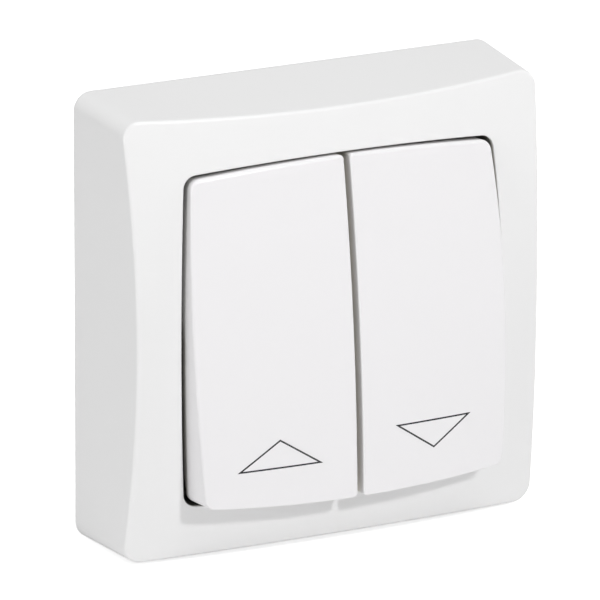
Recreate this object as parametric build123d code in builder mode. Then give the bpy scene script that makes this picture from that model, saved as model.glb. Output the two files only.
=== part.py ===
from build123d import *
import os
from math import cos, radians, sin, sqrt, tan

os.makedirs("parts", exist_ok=True)

# Sizes in millimetres
# The wall is the plane Y = 0 and heights are counted from it towards the room, along -Y.
# The origin is the centre of the back on the wall. +X is to the right and +Z is up.

# Cover frame
frame_size = 75.0
frame_corner = 3.0
frame_rise = 23.4
dome_radius = 200.0
side_draft = 2.18
side_waist = 0.85
frame_wall = 2.0
frame_front = 2.2
frame_edge_round = 0.6
collar_wall = 1.3
collar_rise = 16.0

# Window for the keys, with its four sides bowed outward
frame_border = 8.85
window_bow = 1.25
window_corner = 2.3

# Keys
key_rise = 26.3
key_gap = 0.8
key_end_gap = 0.7
centre_gap = 1.1
key_tilt = 5.94
key_cross_radius = 192.0
key_long_radius = 333.0
key_wall = 1.6
key_corner = 1.9
key_inner_corner = 0.7
key_edge_round = 0.55
key_rib = 1.0
rib_clear = 0.2
skirt_behind_pivot = 3.0

# Rocker carriers and their trunnions
pivot_below_face = 7.0
lug_clear = 1.755
head_half = 8.0
head_height = 0.8
carrier_foot_half = 4.6
carrier_foot_depth = 5.4
trunnion_radius = 2.0
trunnion_fit = 0.08
trunnion_length = 2.0
side_play = 0.3
seat_play = 0.15
nose_width = 2.6
nose_thickness = 2.0
nose_reach = 9.5
nose_clear = 0.4

# Plungers and their springs
plunger_radius = 1.8
plunger_tip_radius = 1.2
plunger_length = 7.7
plunger_fit = 0.15
plunger_clear = 0.4
plunger_side_room = 0.7
plunger_swing_room = 0.6
bore_web = 2.6
spring_wire = 0.5
spring_turns = 4.5
spring_play = 0.05

# Rocking contacts
contact_rise = 8.4
contact_sheet = 0.8
contact_width = 5.0
contact_reach = 7.6
saddle_depth = 0.35
saddle_half = 1.6
tip_from_end = 1.6
tip_radius = 1.5
tip_height = 0.7
tip_chamfer = 0.25
contact_play = 0.2

# Fixed contacts and terminals
strip = 0.8
strip_width = 4.0
closed_gap = 0.12
rivet_head = 1.0
rivet_chamfer = 0.3
edge_foot_half = 0.8
edge_top_half = 0.2
strip_margin = 0.4
floor_play = 0.05
cage_size = 7.0
cage_height = 6.8
cage_wall = 1.0
cage_play = 0.15
screw_radius = 1.7
screw_head_radius = 2.8
screw_head = 1.8
screw_slot = 0.8
screw_over_strip = 1.2
screw_stand = 0.6
screw_clear = 0.3
wire_entry_radius = 2.0

# Wall base, mechanism body and bridge
base_plate = 2.0
base_corner = 1.0
base_play = 0.3
ring_step = 0.6
ring_wall = 1.4
ring_rise = 10.0
ring_corner = 2.5
body_web = 0.8
body_end_wall = 1.85
well_to_pocket = 2.85
bridge_inset = 0.55
body_corner = 2.0
body_edge_round = 0.5
body_rise = 11.0
bridge_plate = 2.0
well_half_x = 3.4
well_half_z = 9.0
well_floor = 4.1
lug_thickness = 2.0
lug_half = 4.0
lug_over_pivot = 3.0
lug_flare = 1.5
fixing_hole_radius = 2.1
fixing_slot = 1.8
fixing_margin = 0.2
fixing_head_radius = 3.9
cable_width = 24.0
cable_height = 10.0
cable_margin = 0.2
cable_corner = 2.0
knockout_web = 0.7
knockout_draft = 0.5
knockout_half = 8.0
knockout_height = 12.0
snap_half = 5.0
snap_rise = 7.0
snap_half_height = 1.0
snap_depth = 1.9
snap_sink = 0.4
snap_play = 0.5
mounting_radius = 1.5
mounting_head_radius = 2.75
mounting_head = 1.8
mounting_play = 0.1
mounting_tip_gap = 1.0
cross_width = 0.7
cross_depth = 0.9
boss_radius = 2.8
boss_play = 0.1
boss_rise = 9.0

# Interlock bar between the two carriers
bar_past_nose = 0.3
bar_half_height = 1.0
bar_thickness = 1.8
bar_play = 0.15
bar_travel = 1.2
bar_wedge = 1.4
bar_edge = 0.4
rail_wall = 1.0
rail_height = 1.3
rail_inset = 1.5

# Values that follow from the sizes above
frame_half = frame_size / 2
window_half = frame_half - frame_border
pivot_rise = key_rise - pivot_below_face
bridge_rise = body_rise + bridge_plate
key_half_x = window_half - key_gap
key_half_z = window_half - key_end_gap
skirt_rise = pivot_rise - skirt_behind_pivot
key_centre = (key_half_x + centre_gap / 2) / 2
key_width = key_half_x - centre_gap / 2
carrier_width = key_width - 2 * (key_wall + lug_clear + lug_thickness + side_play)
lug_gap = carrier_width / 2 + side_play
nose_centre = key_centre - carrier_width / 2 + nose_width / 2
bar_half = nose_centre + bar_past_nose
tilt_axis = Axis((0, -pivot_rise, 0), (1, 0, 0))
contact_axis = Axis((0, -contact_rise, 0), (1, 0, 0))
tip_place = contact_reach - tip_from_end
plunger_end = contact_rise + contact_sheet + plunger_clear
plunger_top = plunger_end + plunger_length
closed_swing = (tip_place + tip_radius) * sin(radians(key_tilt))
fixed_face = contact_rise - tip_height - closed_swing - closed_gap
strip_top = fixed_face - rivet_head
cage_floor = strip_top - strip - cage_wall
cage_top = cage_floor + cage_height
screw_rise = cage_top + screw_stand
bar_rise = bridge_rise + bar_play
pocket = cage_size + 2 * cage_play
terminal_place = well_half_z + well_to_pocket + pocket / 2
strip_end = terminal_place + cage_size / 2 - strip_margin
mounting_place_x = key_centre + pocket / 2 + body_web + boss_radius + boss_play
mounting_places = [(mounting_place_x, -terminal_place), (-mounting_place_x, terminal_place)]
body_half_x = mounting_place_x + boss_radius + boss_play + body_web
body_half_z = terminal_place + pocket / 2 + body_end_wall
bridge_half_z = key_half_z - bridge_inset
ring_half = frame_half - frame_wall - base_play - ring_step
ring_inner = ring_half - ring_wall
fixing_place = ring_inner - fixing_margin - fixing_hole_radius - fixing_slot / 2
cable_place = ring_inner - cable_margin - cable_height / 2


def sag(radius, reach):
    # Depth that an arc of this radius drops over this reach
    return radius - sqrt(radius**2 - reach**2)


# The carriers' heads seat against the inside of the crowned keys, at their outer corners
head_top = key_rise - key_wall
head_seat = head_top - sag(key_cross_radius, key_centre + carrier_width / 2) - sag(key_long_radius, head_half)
head_rise = head_seat - head_height
bore_top = head_top - bore_web


def bowed(half_x, half_z, bow, corner):
    # Rectangle with each side bowed outward at its middle, or drawn in where bow is negative
    x = half_x - bow
    z = half_z - bow
    with BuildSketch() as outline:
        with BuildLine():
            ThreePointArc((-x, -z), (0, -half_z), (x, -z))
            ThreePointArc((x, -z), (half_x, 0), (x, z))
            ThreePointArc((x, z), (0, half_z), (-x, z))
            ThreePointArc((-x, z), (-half_x, 0), (-x, -z))
        make_face()
        fillet(outline.vertices(), corner)
    return outline.sketch


def frame_blank(inset, front):
    # Box with drafted sides that are drawn in at their middles, under a spherical front
    blank_rise = frame_rise + 3.0
    draft = blank_rise * tan(radians(side_draft))
    edge_rise = frame_rise - sag(dome_radius, frame_half)
    waist = side_waist * blank_rise / edge_rise
    corner = max(frame_corner - inset, 0.8)
    with BuildPart() as blank:
        with BuildSketch(Plane.XZ):
            RectangleRounded(frame_size - 2 * inset, frame_size - 2 * inset, corner)
        with BuildSketch(Plane.XZ.offset(blank_rise)):
            middle = frame_half - inset - draft - waist
            add(bowed(middle, middle, -waist, corner))
        loft(ruled=True)
        with Locations((0, dome_radius - frame_rise, 0)):
            Sphere(dome_radius - front, mode=Mode.INTERSECT)
    return blank


def key_crown(drop, inset):
    # Ring of the keys' crowned face, curved both across and along, lowered by drop
    rise = key_rise - drop
    reach = key_half_z + 2.0 - inset
    edge = rise - sag(key_long_radius - drop, reach)
    with BuildPart() as crown:
        with BuildSketch(Plane.YZ):
            with BuildLine():
                ThreePointArc((-edge, reach), (-rise, 0), (-edge, -reach))
                Polyline((-edge, -reach), (-2, -reach), (-2, reach), (-edge, reach))
            make_face()
        revolve(axis=Axis((0, key_cross_radius - key_rise, 0), (0, 0, 1)))
    return crown.part


def key_outline(side, inset):
    # One key's outline: half of the bowed window, with the centre gap left free
    width = key_width - 2 * inset
    with BuildSketch() as outline:
        half_z = key_half_z - inset
        add(bowed(key_half_x - inset, half_z, window_bow, max(key_corner - inset, 0.4)))
        with Locations((side * key_centre, 0)):
            Rectangle(width, 2 * half_z + 2, mode=Mode.INTERSECT)
        inner = outline.vertices().sort_by(Axis.X)
        inner = inner[-2:] if side < 0 else inner[:2]
        fillet(inner, max(key_inner_corner - inset, 0.2))
    return outline.sketch


# Cover frame: a domed and waisted shroud with a bowed window and a collar behind it
outer_blank = frame_blank(0, 0)
inner_blank = frame_blank(frame_wall, frame_front)

with BuildPart() as collar:
    with BuildSketch(Plane.XZ.offset(collar_rise)):
        reach = window_half + collar_wall
        add(bowed(reach, reach, window_bow, window_corner + collar_wall))
    extrude(amount=frame_rise - collar_rise)
    with Locations((0, dome_radius - frame_rise, 0)):
        Sphere(dome_radius - frame_front / 2, mode=Mode.INTERSECT)

with BuildPart() as cover_frame:
    add(outer_blank.part)
    rim = cover_frame.faces().filter_by(GeomType.SPHERE).sort_by(Axis.Y)[0]
    fillet(rim.edges(), frame_edge_round)
    add(inner_blank.part, mode=Mode.SUBTRACT)
    add(collar.part)
    with BuildSketch(Plane.XZ):
        add(bowed(window_half, window_half, window_bow, window_corner))
    extrude(amount=frame_rise + 1, mode=Mode.SUBTRACT)
    # Thin webs, broken out where a cable comes in from above or below
    knockout_depth = frame_wall - knockout_web
    for way in (1, -1):
        with BuildSketch(Plane.XY.offset(way * (frame_half - frame_wall - 1))):
            with Locations((0, -knockout_height / 2)):
                Rectangle(2 * knockout_half, knockout_height)
        extrude(amount=way * (1 + knockout_depth - knockout_draft), mode=Mode.SUBTRACT)
    # Snap noses on the inside of the two upright walls
    snap_wall = frame_half - frame_wall
    for way in (1, -1):
        with BuildSketch(Plane.YZ.offset(way * (snap_wall - snap_depth))):
            with Locations((-snap_rise, 0)):
                Rectangle(2 * snap_half_height, 2 * snap_half)
        extrude(amount=way * (snap_depth + snap_sink))
cover_frame.part.label = "cover_frame"
export_step(cover_frame.part, "parts/cover_frame.step")

# Wall base: back plate with an upright ring, fixing slots, cable entry and two screw bosses
with BuildPart() as wall_base:
    with BuildSketch(Plane.XZ):
        plate = frame_size - 2 * (frame_wall + base_play)
        RectangleRounded(plate, plate, base_corner)
        with Locations((fixing_place, 0), (-fixing_place, 0)):
            SlotCenterToCenter(fixing_slot, 2 * fixing_hole_radius, mode=Mode.SUBTRACT)
        with Locations((0, cable_place)):
            RectangleRounded(cable_width, cable_height, cable_corner, mode=Mode.SUBTRACT)
    extrude(amount=base_plate)
    with BuildSketch(Plane.XZ.offset(base_plate)):
        RectangleRounded(2 * ring_half, 2 * ring_half, ring_corner)
        inner_corner = max(ring_corner - ring_wall, 0.5)
        RectangleRounded(2 * ring_inner, 2 * ring_inner, inner_corner, mode=Mode.SUBTRACT)
        # Room for the heads of the wall screws
        with Locations((fixing_place, 0), (-fixing_place, 0)):
            Circle(fixing_head_radius, mode=Mode.SUBTRACT)
    extrude(amount=ring_rise - base_plate)
    # Windows in the ring's upright walls for the cover's snap noses
    with BuildSketch(Plane.YZ):
        with Locations((-snap_rise, 0)):
            Rectangle(2 * (snap_half_height + snap_play), 2 * (snap_half + snap_play))
    extrude(amount=frame_half, both=True, mode=Mode.SUBTRACT)
    # Cable gaps in the ring, above and below
    with BuildSketch(Plane.XY):
        with Locations((0, -base_plate - ring_rise)):
            Rectangle(2 * knockout_half, 2 * ring_rise)
    extrude(amount=frame_half, both=True, mode=Mode.SUBTRACT)
    with BuildSketch(Plane.XZ.offset(base_plate)):
        with Locations(*mounting_places):
            Circle(boss_radius)
    extrude(amount=boss_rise - base_plate)
    with BuildSketch(Plane.XZ.offset(boss_rise)):
        with Locations(*mounting_places):
            Circle(mounting_radius)
    extrude(amount=-(boss_rise - base_plate), mode=Mode.SUBTRACT)
wall_base.part.label = "wall_base"
export_step(wall_base.part, "parts/wall_base.step")

# Mechanism body: insulating block with wells for the contacts and pockets for the terminals
well_places = [(-key_centre, 0), (key_centre, 0)]
live_places = [(-key_centre, terminal_place), (key_centre, terminal_place)]
common_place = (0, -terminal_place)
channel = strip_width + 2 * cage_play
strip_floor = strip_top - strip - floor_play
with BuildPart() as mechanism_body:
    with BuildSketch(Plane.XZ.offset(base_plate)):
        RectangleRounded(2 * body_half_x, 2 * body_half_z, body_corner)
    extrude(amount=body_rise - base_plate)
    fillet(mechanism_body.faces().sort_by(Axis.Y)[0].edges(), body_edge_round)
    with BuildSketch(Plane.XZ.offset(body_rise)):
        with Locations(*well_places):
            Rectangle(2 * well_half_x, 2 * well_half_z)
    extrude(amount=well_floor - body_rise, mode=Mode.SUBTRACT)
    with BuildSketch(Plane.XZ.offset(body_rise)):
        with Locations(*live_places, common_place):
            Rectangle(pocket, pocket)
    extrude(amount=cage_floor - floor_play - body_rise, mode=Mode.SUBTRACT)
    # Channels for the strips that join wells and pockets
    with BuildSketch(Plane.XZ.offset(body_rise)):
        with Locations(*[(x, terminal_place / 2) for x, z in well_places]):
            Rectangle(channel, terminal_place)
        Rectangle(2 * key_centre, channel)
        with Locations((0, -terminal_place / 2)):
            Rectangle(channel, terminal_place)
    extrude(amount=strip_floor - body_rise, mode=Mode.SUBTRACT)
    # Wire entries from above and below
    wire_rise = (strip_top + cage_top - cage_wall) / 2
    with BuildSketch(Plane.XY.offset(terminal_place)):
        with Locations((-key_centre, -wire_rise), (key_centre, -wire_rise)):
            Circle(wire_entry_radius)
    extrude(amount=body_half_z, mode=Mode.SUBTRACT)
    with BuildSketch(Plane.XY.offset(-terminal_place)):
        with Locations((0, -wire_rise)):
            Circle(wire_entry_radius)
    extrude(amount=-body_half_z, mode=Mode.SUBTRACT)
    # Sockets over the base's bosses, with the mounting screws' holes
    with BuildSketch(Plane.XZ.offset(base_plate)):
        with Locations(*mounting_places):
            Circle(boss_radius + boss_play)
    extrude(amount=boss_rise - base_plate, mode=Mode.SUBTRACT)
    with BuildSketch(Plane.XZ.offset(body_rise)):
        with Locations(*mounting_places):
            Circle(mounting_radius + mounting_play)
    extrude(amount=-(body_rise - base_plate), mode=Mode.SUBTRACT)
mechanism_body.part.label = "mechanism_body"
export_step(mechanism_body.part, "parts/mechanism_body.step")

# Bridge: front plate of the mechanism, with the lugs that carry the rockers' trunnions
lug_places = []
for side in (-1, 1):
    lug_places.append(side * key_centre - lug_gap - lug_thickness)
    lug_places.append(side * key_centre + lug_gap)
plunger_slot_x = plunger_radius + plunger_side_room
plunger_swing = (pivot_rise - body_rise) * sin(radians(key_tilt))
plunger_slot_z = plunger_radius + plunger_swing + plunger_swing_room
rail_inner = bar_half_height + bar_play
with BuildPart() as bridge:
    with BuildSketch(Plane.XZ.offset(body_rise)):
        RectangleRounded(2 * body_half_x, 2 * bridge_half_z, body_corner)
        with Locations(*well_places):
            Rectangle(2 * plunger_slot_x, 2 * plunger_slot_z, mode=Mode.SUBTRACT)
        with Locations(*live_places, common_place):
            Circle(screw_head_radius + screw_clear, mode=Mode.SUBTRACT)
        with Locations(*mounting_places):
            Circle(mounting_radius + mounting_play, mode=Mode.SUBTRACT)
    extrude(amount=bridge_plate)
    for place in lug_places:
        with BuildSketch(Plane.YZ.offset(place)):
            with BuildLine():
                lug_foot = lug_half + lug_flare
                Line((-bridge_rise, -lug_foot), (-bridge_rise, lug_foot))
                Line((-bridge_rise, lug_foot), (-pivot_rise, lug_over_pivot))
                CenterArc((-pivot_rise, 0), lug_over_pivot, 90, 180)
                Line((-pivot_rise, -lug_over_pivot), (-bridge_rise, -lug_foot))
            make_face()
            with Locations((-pivot_rise, 0)):
                Circle(trunnion_radius + trunnion_fit, mode=Mode.SUBTRACT)
        extrude(amount=lug_thickness)
    # Rails that guide the interlock bar
    with BuildSketch(Plane.XZ.offset(bridge_rise)):
        for way in (1, -1):
            with Locations((0, -nose_reach + way * (rail_inner + rail_wall / 2))):
                Rectangle(2 * (bar_half - bar_travel - rail_inset), rail_wall)
    extrude(amount=rail_height)
bridge.part.label = "bridge"
export_step(bridge.part, "parts/bridge.step")

# Keys, carriers, plungers and springs are made upright and then tipped to their rest position
key_face = key_crown(0, 0)
key_hollow = key_crown(key_wall, 0)
for name, side in (("up", -1), ("down", 1)):
    with BuildPart() as key:
        with BuildSketch(Plane.XZ.offset(skirt_rise)):
            add(key_outline(side, 0))
        extrude(amount=key_rise - skirt_rise + 1)
        add(key_face, mode=Mode.INTERSECT)
        fillet(key.faces().sort_by(Axis.Y)[0].edges(), key_edge_round)
    with BuildPart() as hollow:
        with BuildSketch(Plane.XZ.offset(skirt_rise)):
            add(key_outline(side, key_wall))
        extrude(amount=key_rise - skirt_rise)
        add(key_hollow, mode=Mode.INTERSECT)
    with BuildPart() as ribs:
        # Frame that grips the carrier's head, with two stiffening ribs across the key
        with BuildSketch(Plane.XZ.offset(head_rise + rib_clear)):
            with Locations((side * key_centre, 0)):
                grip_x = carrier_width + 2 * seat_play
                grip_z = 2 * (head_half + seat_play)
                Rectangle(grip_x + 2 * key_rib, grip_z + 2 * key_rib)
                Rectangle(grip_x, grip_z, mode=Mode.SUBTRACT)
            for way in (1, -1):
                with Locations((side * key_centre, way * (key_half_z + head_half) / 2)):
                    Rectangle(key_width - key_wall, key_rib)
        extrude(amount=key_rise - head_rise)
        add(key_crown(key_wall / 2, 0), mode=Mode.INTERSECT)
    with BuildPart() as whole_key:
        add(key.part)
        add(hollow.part, mode=Mode.SUBTRACT)
        add(ribs.part)
    tipped = whole_key.part.rotate(tilt_axis, -key_tilt)
    tipped.label = name + "_key"
    export_step(tipped, "parts/" + name + "_key.step")

    # Carrier: a saddle with trunnions, a head for the key, a plunger bore and an interlock nose
    place = side * key_centre
    with BuildPart() as carrier:
        with BuildSketch(Plane.YZ.offset(place - carrier_width / 2)):
            with BuildLine():
                foot = pivot_rise - carrier_foot_depth
                Polyline(
                    (-foot, -carrier_foot_half),
                    (-pivot_rise, -carrier_foot_half),
                    (-head_rise, -head_half),
                    (-head_seat, -head_half),
                    (-head_seat, head_half),
                    (-head_rise, head_half),
                    (-pivot_rise, carrier_foot_half),
                    (-foot, carrier_foot_half),
                    close=True,
                )
            make_face()
        extrude(amount=carrier_width)
        with BuildSketch(Plane.YZ.offset(place - carrier_width / 2 - trunnion_length)):
            with Locations((-pivot_rise, 0)):
                Circle(trunnion_radius)
        extrude(amount=carrier_width + 2 * trunnion_length)
        nose_drop = (nose_reach + nose_thickness / 2) * sin(radians(key_tilt))
        nose_end = bar_rise + bar_thickness + nose_clear + nose_drop
        nose_place = side * nose_centre
        with BuildSketch(Plane.XZ.offset(nose_end)):
            with Locations((nose_place, -nose_reach)):
                Rectangle(nose_width, nose_thickness)
        extrude(amount=head_rise - nose_end)
        with BuildSketch(Plane.XZ.offset(head_rise)):
            with Locations((nose_place, -(nose_reach + carrier_foot_half) / 2)):
                Rectangle(nose_width, nose_reach - carrier_foot_half + nose_thickness)
        extrude(amount=-nose_thickness)
        with BuildSketch(Plane.XZ.offset(foot)):
            with Locations((place, 0)):
                Circle(plunger_radius + plunger_fit)
        extrude(amount=bore_top - foot, mode=Mode.SUBTRACT)
    tipped = carrier.part.rotate(tilt_axis, -key_tilt)
    tipped.label = name + "_carrier"
    export_step(tipped, "parts/" + name + "_carrier.step")

    # Plunger with a round tip that rides on the contact's saddle
    tip_centre = plunger_end + plunger_tip_radius
    with BuildPart() as plunger:
        with BuildSketch(Plane.XZ.offset(plunger_top)):
            with Locations((place, 0)):
                Circle(plunger_radius)
        shank_start = tip_centre + plunger_radius - plunger_tip_radius
        extrude(amount=shank_start - plunger_top)
        with BuildSketch(Plane.XZ.offset(shank_start)):
            with Locations((place, 0)):
                Circle(plunger_radius)
        with BuildSketch(Plane.XZ.offset(tip_centre)):
            with Locations((place, 0)):
                Circle(plunger_tip_radius)
        loft(ruled=True)
        with Locations((place, -tip_centre, 0)):
            Sphere(plunger_tip_radius)
    tipped = plunger.part.rotate(tilt_axis, -key_tilt)
    tipped.label = name + "_plunger"
    export_step(tipped, "parts/" + name + "_plunger.step")

    # Coil spring in the bore, between the plunger and the bore's end
    coil_radius = plunger_radius - spring_wire / 2 - spring_play
    coil_height = bore_top - plunger_top - spring_wire - 2 * spring_play
    coil_start = (place, -(plunger_top + spring_wire / 2 + spring_play), 0)
    with BuildPart() as spring:
        with BuildLine() as coil:
            Helix(coil_height / spring_turns, coil_height, coil_radius, coil_start, (0, -1, 0))
        with BuildSketch(Plane(origin=coil.line @ 0, z_dir=coil.line % 0)):
            RegularPolygon(spring_wire / 2, 8)
        sweep(path=coil.line, is_frenet=True)
    tipped = spring.part.rotate(tilt_axis, -key_tilt)
    tipped.label = name + "_spring"
    export_step(tipped, "parts/" + name + "_spring.step")

    # Rocking contact: a brass strip with a saddle for the plunger, and its silver tip
    with BuildPart() as contact:
        with BuildSketch(Plane.YZ.offset(place - contact_width / 2)):
            with BuildLine():
                back = -contact_rise
                front = -contact_rise - contact_sheet
                Polyline((front, -contact_reach), (front, -saddle_half), (front + saddle_depth, 0))
                Polyline((front + saddle_depth, 0), (front, saddle_half), (front, contact_reach))
                Polyline((front, contact_reach), (back, contact_reach), (back, -contact_reach))
                Line((back, -contact_reach), (front, -contact_reach))
            make_face()
        extrude(amount=contact_width)
    tipped = contact.part.rotate(contact_axis, key_tilt)
    tipped.label = name + "_contact"
    export_step(tipped, "parts/" + name + "_contact.step")
    with BuildPart() as tip:
        with BuildSketch(Plane.XZ.offset(contact_rise)):
            with Locations((place, tip_place)):
                Circle(tip_radius)
        extrude(amount=-tip_height)
        chamfer(tip.faces().sort_by(Axis.Y)[-1].edges(), tip_chamfer)
    tipped = tip.part.rotate(contact_axis, key_tilt)
    tipped.label = name + "_contact_tip"
    export_step(tipped, "parts/" + name + "_contact_tip.step")

    # Live terminal strip from under the tip to its cage
    strip_start = tip_place - tip_radius - strip_margin
    with BuildPart() as terminal:
        with BuildSketch(Plane.XZ.offset(strip_top - strip)):
            with Locations((place, (strip_start + strip_end) / 2)):
                Rectangle(strip_width, strip_end - strip_start)
        extrude(amount=strip)
    terminal.part.label = name + "_terminal"
    export_step(terminal.part, "parts/" + name + "_terminal.step")

# Fixed silver contacts on the live strips
with BuildPart() as fixed_contacts:
    with BuildSketch(Plane.XZ.offset(strip_top)):
        with Locations(*[(x, tip_place) for x, z in well_places]):
            Circle(tip_radius)
    extrude(amount=rivet_head)
    chamfer(fixed_contacts.faces().filter_by(Axis.Y).group_by(Axis.Y)[0].edges(), rivet_chamfer)
fixed_contacts.part.label = "fixed_contacts"
export_step(fixed_contacts.part, "parts/fixed_contacts.step")

# Common terminal: a strip across both wells, with a knife edge under each rocking contact
with BuildPart() as common_terminal:
    with BuildSketch(Plane.XZ.offset(strip_top - strip)):
        Rectangle(2 * key_centre + strip_width, strip_width)
        with Locations((0, -strip_end / 2)):
            Rectangle(strip_width, strip_end)
    extrude(amount=strip)
    edge_height = contact_rise - contact_play - strip_top
    for x, z in well_places:
        with BuildSketch(Plane.YZ.offset(x - strip_width / 2)):
            with BuildLine():
                top = -strip_top - edge_height
                Polyline((-strip_top, -edge_foot_half), (-strip_top, edge_foot_half), (top, edge_top_half))
                Polyline((top, edge_top_half), (top, -edge_top_half), (-strip_top, -edge_foot_half))
            make_face()
        extrude(amount=strip_width)
common_terminal.part.label = "common_terminal"
export_step(common_terminal.part, "parts/common_terminal.step")

# Cage clamps of the three terminals, open along Z for the wire
with BuildPart() as cages:
    with BuildSketch(Plane.XZ.offset(cage_floor)):
        with Locations(*live_places, common_place):
            Rectangle(cage_size, cage_size)
    extrude(amount=cage_height)
    with BuildSketch(Plane.XY.offset(-terminal_place)):
        with Locations(*[(x, -(cage_floor + cage_top) / 2) for x in (-key_centre, 0, key_centre)]):
            Rectangle(cage_size - 2 * cage_wall, cage_height - 2 * cage_wall)
    extrude(amount=3 * terminal_place, both=True, mode=Mode.SUBTRACT)
    with BuildSketch(Plane.XZ.offset(cage_top)):
        with Locations(*live_places, common_place):
            Circle(screw_radius)
    extrude(amount=-cage_wall, mode=Mode.SUBTRACT)
cages.part.label = "cage_clamps"
export_step(cages.part, "parts/cage_clamps.step")

# Terminal screws, reached from the front through the bridge
with BuildPart() as terminal_screws:
    with BuildSketch(Plane.XZ.offset(strip_top + screw_over_strip)):
        with Locations(*live_places, common_place):
            Circle(screw_radius)
    extrude(amount=screw_rise - strip_top - screw_over_strip)
    with BuildSketch(Plane.XZ.offset(screw_rise)):
        with Locations(*live_places, common_place):
            Circle(screw_head_radius)
    extrude(amount=screw_head)
    with BuildSketch(Plane.XZ.offset(screw_rise + screw_head)):
        with Locations(*live_places, common_place):
            Rectangle(2 * screw_head_radius + 1, screw_slot)
    extrude(amount=-screw_slot, mode=Mode.SUBTRACT)
terminal_screws.part.label = "terminal_screws"
export_step(terminal_screws.part, "parts/terminal_screws.step")

# Mounting screws that hold the mechanism on the base's bosses
with BuildPart() as mounting_screws:
    with BuildSketch(Plane.XZ.offset(base_plate + mounting_tip_gap)):
        with Locations(*mounting_places):
            Circle(mounting_radius)
    extrude(amount=bridge_rise - base_plate - mounting_tip_gap)
    with BuildSketch(Plane.XZ.offset(bridge_rise)):
        with Locations(*mounting_places):
            Circle(mounting_head_radius)
    extrude(amount=mounting_head)
    with BuildSketch(Plane.XZ.offset(bridge_rise + mounting_head)):
        with Locations(*mounting_places):
            Rectangle(2 * mounting_head_radius + 1, cross_width)
            Rectangle(cross_width, 2 * mounting_head_radius + 1)
    extrude(amount=-cross_depth, mode=Mode.SUBTRACT)
mounting_screws.part.label = "mounting_screws"
export_step(mounting_screws.part, "parts/mounting_screws.step")

# Interlock bar: slides across between the two carriers' noses, with a wedge at each end
with BuildPart() as interlock_bar:
    with BuildSketch(Plane.XY.offset(-nose_reach - bar_half_height)):
        with BuildLine():
            low = -bar_rise
            high = -bar_rise - bar_thickness
            Polyline(
                (-bar_half, low),
                (bar_half, low),
                (bar_half, low - bar_edge),
                (bar_half - bar_wedge, high),
                (-bar_half + bar_wedge, high),
                (-bar_half, low - bar_edge),
                close=True,
            )
        make_face()
    extrude(amount=2 * bar_half_height)
interlock_bar.part.label = "interlock_bar"
export_step(interlock_bar.part, "parts/interlock_bar.step")
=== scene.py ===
# %% [markdown]
# # A roller shutter switch with two rocker keys
# The object is a surface-mounted wall switch: a white square box with a domed front, and two tall
# keys side by side that run a roller shutter up and down. The working model of the switch comes in
# as a frame that is never moved. This lesson puts the visible shells, finishes, marks, light and
# camera on it.

# %% Load the working model
import math
import bpy
import numpy as np
from mathutils import Matrix, Vector


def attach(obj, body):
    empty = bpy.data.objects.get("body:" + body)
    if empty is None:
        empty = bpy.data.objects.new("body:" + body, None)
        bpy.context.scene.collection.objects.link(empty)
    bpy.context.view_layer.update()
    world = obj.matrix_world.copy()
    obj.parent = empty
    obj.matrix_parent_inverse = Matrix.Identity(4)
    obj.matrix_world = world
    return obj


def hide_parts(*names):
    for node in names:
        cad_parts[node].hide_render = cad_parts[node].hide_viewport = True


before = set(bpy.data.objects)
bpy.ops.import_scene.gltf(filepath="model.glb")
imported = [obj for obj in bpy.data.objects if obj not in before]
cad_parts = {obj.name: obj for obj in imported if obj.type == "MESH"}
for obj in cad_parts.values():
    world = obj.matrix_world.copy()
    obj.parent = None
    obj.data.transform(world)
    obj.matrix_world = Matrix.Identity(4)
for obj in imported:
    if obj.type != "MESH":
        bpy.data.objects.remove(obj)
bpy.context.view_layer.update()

# %% [markdown]
# ## Units
# The wall is the plane Y = 0 and everything rises from it towards the room, along -Y. It is easiest
# to think in millimetres with three numbers: across (x), rise above the wall, and up (z). One
# helper turns them into Blender's metres.

# %% From millimetres to metres
MM_PER_METRE = 1000.0


def to_metres(x, rise, z):
    """Across, rise above the wall and height, in millimetres, as points in metres."""
    return np.stack(np.broadcast_arrays(x, -np.asarray(rise), z), axis=-1) / MM_PER_METRE


print("one millimetre towards the room and one up:", to_metres(0.0, 1.0, 1.0))

# %% [markdown]
# ## Outlines
# The window's sides are not straight: each bows out by a little over a millimetre, and the corners
# are rounded. The frame's front edge does the opposite and is drawn in at the middle of each side.
# One quarter of such an outline is three pieces: half of a side, a corner arc, half of the next
# side. The circle that carries a side, moved by the corner radius, gives the corner's centre.

# %% The circle that carries a side
FLATTEST_BOW = 1e-9


def side_circle(half, bow, reach):
    """Centre and radius of the circle that bows out by bow over the given half chord."""
    if abs(bow) < FLATTEST_BOW:
        return None
    radius = (reach * reach + bow * bow) / (2 * abs(bow))
    centre = half - radius if bow > 0 else half + radius
    return centre, radius


def on_side(circle, half, across, shift=0.0):
    """Height of the side over a point across, for the side moved inward by shift."""
    if circle is None:
        return half - shift + 0 * across
    centre, radius = circle
    if centre < half:
        return centre + np.sqrt((radius - shift) ** 2 - across**2)
    return centre - np.sqrt((radius + shift) ** 2 - across**2)


print("20 mm bowed by 1 mm lie on a circle of radius", side_circle(10.0, 1.0, 10.0)[1], "mm")

# %% Half a side, its corner, and the whole outline
SIDE_STEPS = 26
CORNER_STEPS = 9
CORNER_TRIES = 40


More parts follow.
